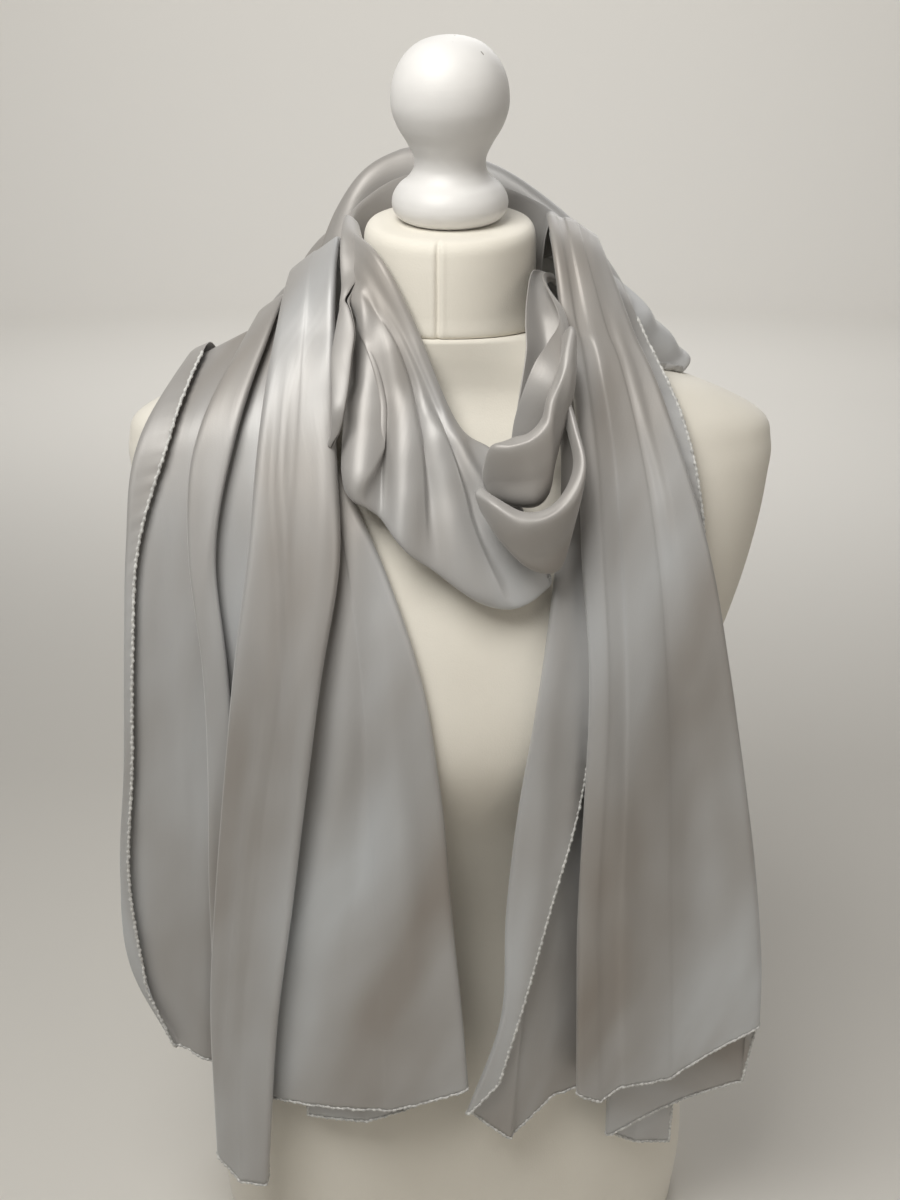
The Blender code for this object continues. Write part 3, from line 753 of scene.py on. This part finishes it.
def form_torso():
    """Torso cover, tight and smooth, eased round the edge of its flat base."""
    levels = TORSO_LEVELS[:, 0]
    height = np.concatenate([[0, 0.6, 1.8, 3.6], np.linspace(7, 590, 84), np.linspace(594, levels[-1], 34)])
    inward = 3.0 * (1 - rounded(height, 3.6))
    around = 144
    rings = np.array([
        np.column_stack([oval(*(size - ease), TORSO_POWER, around), np.full(around, h)])
        for size, h, ease in zip(torso_size(height).T, height, inward)
    ])
    add_form("form_torso_cover", rings, JERSEY, "form_torso")


def form_neck():
    """Neck block: a covered cylinder with a seam down its front, a hair to the left, that notches
    the round edge of its top, and a soft rolled edge at its foot."""
    around = 480
    turn = np.linspace(0, 2 * np.pi, around, endpoint=False) - np.pi / 2
    rise = np.concatenate([[0, 0.5, 1.5, 3], np.linspace(5, 54, 26), np.linspace(55.5, 63, 9)])
    low_edge = -2.2 * (1 - rounded(rise, 3.6))
    rings = []
    for h, ease in zip(rise, low_edge):
        half = np.interp(h, NECK_LEVELS[:, 0], NECK_LEVELS[:, 1]) + ease
        depth = np.interp(h, NECK_LEVELS[:, 0], NECK_LEVELS[:, 2]) + ease
        if h > 54:
            lid = (h - 54) / 9
            drop = 9.5 * (1 - np.sqrt(1 - lid**2))
            half, depth = 52 - drop * 0.62, 54 - drop * 0.62
        ring = np.column_stack([half * np.cos(turn), depth * np.sin(turn)])
        rings.append(ring_at(ring, h, 1.0, turn))
    for share in (0.9, 0.78, 0.66):
        rings.append(ring_at(ring * share, 63 + (1 - share) * 0.6, share, turn))
    add_form("form_neck_cover", np.array(rings), JERSEY, "form_neck")


def ring_at(ring, rise, share, turn):
    """Ring of the neck block, tipped with its top and drawn in at the front seam."""
    seam = np.radians(-98.0)
    away = np.abs(np.angle(np.exp(1j * (turn - seam)))) * 54 * share
    groove = -1.7 * np.exp(-((away / 1.15) ** 2)) + 0.45 * np.exp(-(((away - 3.4) / 1.6) ** 2))
    reach = np.hypot(ring[:, 0], ring[:, 1])
    ring = ring * (1 + groove / reach)[:, None]
    slope = NECK_TOP_SLOPE * ring[:, 1] * rise / NECK_LEVELS[-1, 0]
    return np.column_stack([ring, NECK_SEAM_HEIGHT + rise + slope])


def form_knob():
    """Turned knob, tipped with the neck's top, with a few shallow dents in its paint."""
    profile = np.array(KNOB_PROFILE, float)
    run = np.concatenate([[0], np.cumsum(np.hypot(*np.diff(profile, axis=0).T))])
    fine = smooth_through(run, profile, np.linspace(run[1], run[-1] - 1.2, 96))
    around = 96
    turn = np.linspace(0, 2 * np.pi, around, endpoint=False)
    side = fine[:, :1] * np.sin(turn)
    rise = np.repeat(fine[:, 1:], around, axis=1)
    tip = np.arctan(NECK_TOP_SLOPE)
    seat = NECK_SEAM_HEIGHT + NECK_LEVELS[-1, 0] + SEAM_GAP
    rings = np.stack([
        fine[:, :1] * np.cos(turn),
        side * np.cos(tip) - rise * np.sin(tip),
        side * np.sin(tip) + rise * np.cos(tip) + seat,
    ], -1)
    add_form("form_knob_turned", rings, PAINT, "form_knob")


form_torso()
form_neck()
form_knob()


# Creases: ridges and dips pressed into the cloth, as seen from the front. Each has its width and
# height, then its points (x, height). Every layer of an end takes the same crease where it lies.

def beside(x, z, line):
    """Distance of each place from a line, more than 0 on the right of its way down, and how far
    along the line it is, from 0 to 1."""
    line = np.array(line, float)
    line = smooth_through(np.arange(len(line)), line, np.linspace(0, len(line) - 1, 8 * len(line) - 7))
    side = np.full(x.shape, 1e9)
    along = np.zeros_like(x)
    for k in range(len(line) - 1):
        way = line[k + 1] - line[k]
        t = np.clip(((x - line[k, 0]) * way[0] + (z - line[k, 1]) * way[1]) / (way @ way), 0, 1)
        gap = np.hypot(x - line[k, 0] - t * way[0], z - line[k, 1] - t * way[1])
        right = np.sign(way[0] * (z - line[k, 1]) - way[1] * (x - line[k, 0]))
        closer = gap < np.abs(side)
        side = np.where(closer, gap * np.where(right < 0, -1, 1), side)
        along = np.where(closer, (k + t) / (len(line) - 1), along)
    return side, along


def relief(x, z, creases):
    """Height of the creases at each place, in millimetres."""
    total = np.zeros_like(x)
    for width, height, *line in creases:
        side, along = beside(x, z, line)
        total += height * np.exp(-((side / width) ** 2)) * np.clip(4 * along * (1 - along), 0, 1) ** 0.5
    return total


def lip(points, radius, turn, steps=8):
    """Grid with its last column rolled under, towards the form, in an arc of this radius and this
    turn in degrees."""
    edge = points[:, -1]
    out = edge - points[:, -3]
    out /= np.linalg.norm(out, axis=1, keepdims=True)
    inward = np.cross(out, np.gradient(edge, axis=0))
    inward /= np.linalg.norm(inward, axis=1, keepdims=True)
    towards = (inward[:, 0] * edge[:, 0] + inward[:, 1] * edge[:, 1]).sum()
    inward *= -np.sign(towards)
    angle = np.linspace(0, np.radians(turn), steps + 1)[1:, None, None]
    rolled = edge + radius * (np.sin(angle) * out + (1 - np.cos(angle)) * inward)
    return np.concatenate([points, rolled.transpose(1, 0, 2)], axis=1)


def pleated(table, crest, creases, rows_down, rows_back):
    """Surface of a hanging end, points[v, u]. Across, it zigzags between the fold edges, and
    each run meets its edges in quarter circles, so two runs make a round fold. Down, it starts
    behind the crest, or on it if there are no rows back, and ends at the hem. The creases move it
    out, or in by as much as its distance from the form allows."""
    x_rails, z_rails, down = end_rails(table, crest, rows_down)
    sizes = np.array(list(table.values()), float)
    lifts = sizes[:-1, 9:10] + (sizes[:-1, 10:11] - sizes[:-1, 9:10]) * down
    xs, zs, rises = [], [], []
    for k in range(len(table) - 1):
        width = np.maximum(np.hypot(x_rails[k + 1] - x_rails[k], z_rails[k + 1] - z_rails[k]), 0.5)
        faces = int(np.clip(width.max() / SPACING, 6, 30))
        even = np.linspace(0, 1, faces + 1)
        share = (0.4 * even + 0.6 * (0.5 - 0.5 * np.cos(np.pi * even)))[:, None]
        x = x_rails[k] + (x_rails[k + 1] - x_rails[k]) * share
        z = z_rails[k] + (z_rails[k + 1] - z_rails[k]) * share
        radius = np.minimum(FOLD_RADIUS, width / 2)
        lift = lifts[k]
        before = lifts[k - 1] if k else lift
        after = lifts[k + 1] if k + 1 < len(lifts) else lift
        rise = (
            lift
            + (before - lift) / 2 * (1 - rounded(share * width, radius))
            + (after - lift) / 2 * (1 - rounded((1 - share) * width, radius))
        )
        last = None if k + 2 == len(table) else -1
        xs.append(x[:last])
        zs.append(z[:last])
        rises.append(rise[:last])
    x, z, rise = np.concatenate(xs).T, np.concatenate(zs).T, np.concatenate(rises).T
    y = resting(x, z, crest)
    slope_z = (resting(x, z + 0.25, crest) - resting(x, z - 0.25, crest)) / 0.5
    upright = 20.0
    slope_z[0] = upright
    out = np.stack([np.zeros_like(x), -np.ones_like(x), np.clip(slope_z, -0.4, upright)], -1)
    out /= np.linalg.norm(out, axis=-1, keepdims=True)
    rise += np.maximum(relief(x, z, creases), -0.7 * np.maximum(rise - 3.4, 0))
    front = np.stack([x, y, z], -1) + out * rise[..., None]
    for _ in range(SMOOTHING):
        front[1:-1] = (front[:-2] + 2 * front[1:-1] + front[2:]) / 4
    front += out * puckers(front)[..., None]
    turn = np.linspace(BACK_ANGLE, 0, rows_back, endpoint=False)[:, None]
    around = BACK_TURN + rise[0]
    back = np.stack([
        x[0] + 0 * turn,
        CREST_DEPTH + around * np.sin(turn),
        z[0] - BACK_TURN + around * np.cos(turn),
    ], -1)
    return np.concatenate([back, front])


def puckers(points):
    """Small ripples that the hem's thread draws into the cloth beside it, in millimetres."""
    total = np.zeros(points.shape[:2])
    across, along = lengths(points, 1), lengths(points, 0)
    for away, run in ((across, along), (across[:, -1:] - across, along), (along[-1:] - along, across)):
        wave = np.sin(run / 1.7) + 0.8 * np.sin(run / 2.9 + 1) + 0.6 * np.sin(run / 5.3 + 2)
        total += 0.22 * wave * np.exp(-away / 7)
    return total * np.clip(along / 60, 0, 1)


def hem_line(points, start):
    """Free edge of an end: down its first side from a row, along its foot and up the other side."""
    return np.concatenate([points[start:, 0], points[-1, 1:], points[-2:start:-1, -1]])


LEFT_CREASES = (
    (2.6, 2.0, (-94, 655), (-97, 601), (-94, 570), (-93, 527), (-92, 481), (-99, 424), (-104, 395)),
    (2.4, -1.5, (-100, 640), (-103, 601), (-100, 560), (-99, 520), (-98, 470), (-104, 424)),
    (1.8, 1.2, (-90, 560), (-86, 500), (-88, 450), (-93, 420)),
    (5.0, 3.2, (-110, 525), (-109, 478), (-120, 420), (-131, 360), (-141, 279), (-151, 203), (-161, 113)),
    (3.5, -2.0, (-117, 500), (-118, 460), (-129, 400), (-140, 330), (-150, 250), (-160, 180)),
    (7.0, 3.0, (-134, 484), (-154, 384), (-163, 303), (-172, 212), (-183, 114)),
    (6.0, 2.6, (-75, 638), (-72, 592), (-74, 550), (-81, 494), (-90, 428), (-107, 323)),
    (11.0, 5.0, (-54, 590), (-56, 545), (-60, 500), (-68, 440), (-80, 380), (-101, 291)),
    (8.0, -3.0, (-48, 545), (-49, 480), (-52, 420), (-60, 340), (-70, 270)),
    (10.0, 3.6, (-42, 540), (-36, 491), (-31, 428), (-28, 337), (-20, 257)),
    (9.0, -2.5, (-28, 480), (-16, 420), (-12, 350), (-6, 290)),
    (2.4, 1.3, (-119, 203), (-82, 227), (-40, 252), (-7, 276), (1, 286)),
    (3.0, 1.6, (-117, 188), (-75, 208), (-34, 226), (7, 246)),
    (2.2, -1.0, (-100, 204), (-60, 222), (-20, 240), (4, 256)),
    (11.0, 3.4, (-56, 196), (-33, 205), (-8, 216)),
    (1.0, 0.5, (-106, 659), (-90, 660), (-74, 659)),
    (6.0, 2.4, (-124, 637), (-138, 594), (-149, 546), (-167, 465), (-171, 389), (-174, 300)),
    (4.0, -1.6, (-132, 620), (-146, 570), (-158, 510), (-172, 440)),
    (7.0, 2.0, (-172, 600), (-186, 520), (-194, 440), (-200, 360), (-203, 280)),
    (1.8, 0.9, (-212, 500), (-203, 497), (-196, 489)),
    (1.8, 0.9, (-216, 430), (-206, 428), (-196, 420)),
    (1.8, 0.8, (-217, 395), (-206, 390), (-200, 384)),
    (1.8, 0.9, (-219, 350), (-208, 349), (-200, 344)),
    (1.8, 0.7, (-221, 318), (-210, 314), (-204, 312)),
)
RIGHT_CREASES = (
    (9.0, 4.0, (76, 700), (82, 660), (86, 590), (89, 525), (95, 453), (103, 380), (113, 314), (118, 224)),
    (13.0, -4.0, (104, 650), (121, 567), (137, 480), (150, 400), (163, 333), (171, 217)),
    (10.0, 3.4, (122, 669), (146, 606), (170, 517), (190, 409), (198, 294), (200, 240)),
    (3.0, 1.3, (96, 690), (110, 640), (122, 600), (130, 560)),
    (8.0, 3.2, (66, 560), (63, 523), (57, 466), (54, 387), (49, 301), (37, 210)),
    (5.0, -2.4, (81, 488), (82, 419), (80, 326), (69, 251), (55, 176)),
    (3.0, 1.2, (110, 300), (140, 270), (170, 262), (196, 268)),
    (7.0, 2.4, (112, 232), (124, 218), (138, 212)),
    (7.0, -2.0, (140, 240), (152, 224), (166, 214)),
)

left = pleated(LEFT_END, LEFT_CREST, LEFT_CREASES, rows_down=172, rows_back=12)
right = pleated(RIGHT_END, RIGHT_CREST, RIGHT_CREASES, rows_down=190, rows_back=0)
sheets = {"left_end": add_sheet("left_end", left), "right_end": add_sheet("right_end", right)}
hems = {
    "left_end": [rolled_hem("left_end_hem", hem_line(left, start=14))],
    "right_end": [rolled_hem("right_end_hem", hem_line(right, start=10))],
}


# The cowl, the loops and the rolls

# Each stretch has its lines, its grid's points along and across them, and its least distance
# from the form in millimetres.
STRETCHES = {
    "cowl": (COWL_LINES, 190, 150, 1.6),
    "loop_outer": (LOOP_LINES, 80, 80, 1.1),
    "loop_inner": (INNER_LINES, 70, 80, 1.1),
    "loop_petal": (PETAL_LINES, 70, 80, 1.1),
    "nape_inner": (NAPE_INNER_LINES, 100, 50, 1.1),
    "nape_outer": (NAPE_OUTER_LINES, 150, 130, 1.1),
}

# The twisted strand between the left end and the cowl. Columns: centre (x, depth, height), half
# width, half thickness and turn in degrees.
STRAND = np.array([
    (-60, 8, 743, 6.5, 3.2, 55), (-58.7, -12, 737, 6.8, 2.8, 30), (-58.2, -24, 728, 6.8, 2.6, 12),
    (-58.5, -34, 717, 5.6, 2.6, -5), (-60.2, -43, 708.7, 3.4, 3.0, -35),
    (-61.2, -48, 703, 3.2, 2.8, -70), (-60.9, -54, 697.6, 4.6, 2.4, -38),
    (-60.5, -63, 687, 6.4, 2.2, -20), (-61.8, -73, 675.5, 6.2, 2.0, -14),
    (-62, -84, 662, 5.0, 2.0, -12), (-63, -92, 650, 3.8, 1.8, -10), (-65, -92, 638, 2.8, 1.6, -6),
    (-69, -88, 628, 1.6, 1.2, 0),
])


def strand(along=130, around=40):
    """Flattened roll of cloth that follows its path and turns about it, points[v, u]. It is open
    along a narrow slit."""
    fine = smooth_through(np.arange(len(STRAND)), STRAND, np.linspace(0, len(STRAND) - 1, along))
    path = fine[:, :3]
    ahead = np.gradient(path, axis=0)
    ahead /= np.linalg.norm(ahead, axis=1, keepdims=True)
    across = np.cross(ahead, (0.0, -0.6, 0.8))
    across /= np.linalg.norm(across, axis=1, keepdims=True)
    up = np.cross(across, ahead)
    angle = np.radians(np.linspace(-165, 165, around))
    wide, thick = fine[:, 3:4] * np.cos(angle), fine[:, 4:5] * np.sin(angle)
    turn = np.radians(fine[:, 5:6])
    first = wide * np.cos(turn) - thick * np.sin(turn)
    second = wide * np.sin(turn) + thick * np.cos(turn)
    return path[:, None] + first[..., None] * across[:, None] + second[..., None] * up[:, None]


# Folds of the cowl: each is an edge from which the cloth falls away gently on its left and
# steeply on its right, and the one whose height is below 0 is an even dip. Each has its height
# and its two widths, then its points (x, height).
COWL_FOLDS = (
    (6.0, 17.0, 3.4,
     (-52, 716), (-50, 704), (-42, 676), (-38, 650), (-38, 633), (-46, 618), (-52, 603), (-50, 590)),
    (4.2, 16.0, 3.6,
     (-46, 712), (-38, 690), (-31, 673), (-26, 657), (-23, 634), (-19, 612), (-16, 588), (-12, 560)),
    (5.4, 17.0, 3.6,
     (-24, 664), (-15, 646), (-6, 629), (5, 607), (9, 589), (15, 575), (25, 558), (33, 544), (46, 538)),
    (3.6, 9.0, 2.8,
     (-9, 648), (-2, 637), (6, 627), (12, 617), (19, 606), (23, 592), (31, 576), (45, 562)),
    (-5.5, 5.0, 5.0, (-58, 704), (-56, 691), (-56, 677), (-57, 663), (-59, 648)),
    (2.6, 7.0, 3.0, (-30, 575), (-24, 566), (-14, 556), (-2, 550), (12, 545)),
)


def folds(x, z):
    """Height of the cowl's folds at each place, in millimetres."""
    total = np.zeros_like(x)
    for height, gentle, steep, *line in COWL_FOLDS:
        side, along = beside(x, z, line)
        width = np.where(side > 0, steep, gentle)
        fade = np.clip(4 * np.minimum(along, 1 - along), 0, 1)
        total += height * np.exp(-((side / width) ** 2)) * fade * fade * (3 - 2 * fade)
    return total


def cowl_cloth(points, passes=90):
    """The cowl's grid evened out across, with its main folds pressed into it."""
    even = points.copy()
    for _ in range(passes):
        even[:, 1:-1] = (even[:, :-2] + 2 * even[:, 1:-1] + even[:, 2:]) / 4
    out = np.cross(np.gradient(even, axis=1), np.gradient(even, axis=0))
    out /= np.linalg.norm(out, axis=-1, keepdims=True)
    out *= -np.sign(out[..., 1:2].mean())
    return even + out * folds(even[..., 0], even[..., 2])[..., None]


for name, (lines, along, across, gap) in STRETCHES.items():
    points = in_grid(lines, along, across)
    if name == "cowl":
        points = lip(cowl_cloth(points), radius=2.6, turn=170)
    sheets[name] = add_sheet(name, clear_of_form(points, gap))
sheets["left_tuck"] = add_shell("left_tuck", strand())


# Floor, plain and pale, and soft studio light

def area_light(name, place, aim, size, power, tint):
    """Square light at a place, turned to a point."""
    light = bpy.data.objects.new(name, bpy.data.lights.new(name, "AREA"))
    light.data.size = size
    light.data.energy = power
    light.data.color = colour(tint)[:3]
    light.location = place
    way = Vector(aim) - Vector(place)
    light.rotation_euler = way.to_track_quat("-Z", "Y").to_euler()
    bpy.context.scene.collection.objects.link(light)


# A round floor that bends up into a wall, so that it is plain from every side. Its line is in
# metres from the middle and up, and its rings turn backwards, so that they face inwards.
bend = np.radians(np.linspace(0, 90, 25))
floor_line = [(0.5, 0), (2, 0), *zip(5 + 1.5 * np.sin(bend), 1.5 - 1.5 * np.cos(bend)), (6.5, 4.5)]
floor_around = 128
floor_turn = -np.linspace(0, 2 * np.pi, floor_around, endpoint=False)
floor_round = np.column_stack([np.cos(floor_turn), np.sin(floor_turn)])
floor_rings = np.array([
    np.column_stack([reach * floor_round, np.full(floor_around, rise - MM)])
    for reach, rise in floor_line
])
floor_faces = grid_faces(len(floor_rings), floor_around, closed=True).tolist()
floor_faces.append(list(range(floor_around))[::-1])
floor_mesh = bpy.data.meshes.new("floor")
floor_mesh.from_pydata(floor_rings.reshape(-1, 3).tolist(), [], floor_faces)
floor_mesh.shade_smooth()
floor = bpy.data.objects.new("floor", floor_mesh)
floor_paint, _, floor_shader = start_material("floor")
floor_shader.inputs["Base Color"].default_value = colour("#DEDBD5")
floor_shader.inputs["Roughness"].default_value = 0.8
floor_mesh.materials.append(floor_paint)
bpy.context.scene.collection.objects.link(floor)

world = bpy.data.worlds.new("studio")
world.use_nodes = True
world.node_tree.nodes["Background"].inputs["Color"].default_value = colour("#DAD9D8")
world.node_tree.nodes["Background"].inputs["Strength"].default_value = 0.27
bpy.context.scene.world = world
bpy.context.scene.view_settings.view_transform = "Standard"
area_light("key", (-0.35, -0.62, 1.5), (0, 0, 0.62), 0.7, 13, "#FFFDF8")
area_light("fill", (1.5, -1.2, 1.0), (0, 0, 0.4), 1.6, 4, "#FFF4E6")
area_light("backdrop", (0, 2.6, 3.4), (0, 6.5, 1.2), 3.0, 130, "#FFFFFF")
area_light("back", (0.6, 1.8, 1.9), (0, 0, 0.5), 1.4, 10, "#FFFFFF")
